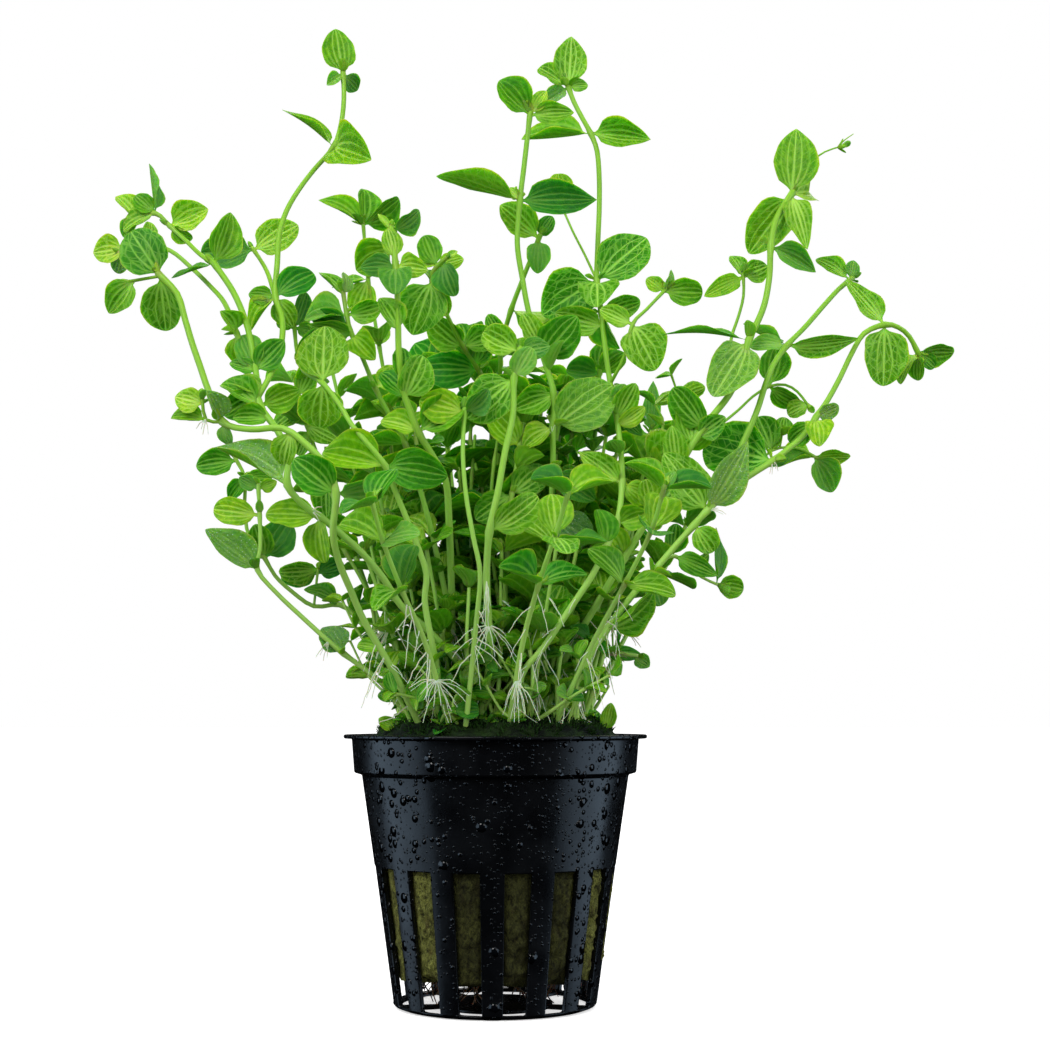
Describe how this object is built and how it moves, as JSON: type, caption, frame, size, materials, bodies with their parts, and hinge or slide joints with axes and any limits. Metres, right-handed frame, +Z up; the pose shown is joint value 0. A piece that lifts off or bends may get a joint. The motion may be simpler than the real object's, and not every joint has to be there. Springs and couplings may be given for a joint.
{
  "type": "potted aquarium plant (lindernia rotundifolia in a net pot)",
  "caption": "Bushy aquarium stem plant with round veined leaves, rooted in rock wool and moss in a slotted black net pot.",
  "frame": {"origin": "centre of the pot's base, on the surface it stands on", "axes": "+Z up along the pot's axis, -Y towards the viewer of the picture, +X to the picture's right"},
  "size_m": [0.1593, 0.1128, 0.1883],
  "materials": {
    "pot": "black, wet, satin to glossy",
    "wool": "olive fibrous rock wool, wet",
    "moss": "dark green moss, matte",
    "plant": "leaf green with paler veins, soft sheen"
  },
  "bodies": {
    "root": {"net_pot": "pot", "rockwool_plug": "wool", "moss_mat": "moss", "shoot_01": "plant", "shoot_02": "plant", "shoot_03": "plant", "shoot_04": "plant", "shoot_05": "plant", "shoot_06": "plant", "shoot_07": "plant", "shoot_08": "plant", "shoot_09": "plant", "shoot_10": "plant", "shoot_11": "plant", "shoot_12": "plant", "shoot_13": "plant", "shoot_14": "plant", "shoot_15": "plant", "shoot_16": "plant", "shoot_17": "plant", "shoot_18": "plant", "shoot_19": "plant", "shoot_20": "plant", "shoot_21": "plant", "shoot_22": "plant", "shoot_23": "plant", "shoot_24": "plant", "shoot_25": "plant", "shoot_26": "plant", "shoot_27": "plant", "shoot_28": "plant", "shoot_29": "plant", "shoot_30": "plant", "shoot_31": "plant", "shoot_32": "plant", "shoot_33": "plant", "shoot_34": "plant", "shoot_35": "plant", "shoot_36": "plant", "shoot_37": "plant", "shoot_38": "plant", "shoot_39": "plant", "shoot_40": "plant", "shoot_41": "plant", "shoot_42": "plant", "shoot_43": "plant", "shoot_44": "plant", "shoot_45": "plant", "shoot_46": "plant", "shoot_47": "plant", "shoot_48": "plant", "shoot_49": "plant", "shoot_50": "plant", "shoot_51": "plant"}
  },
  "joints": []
}
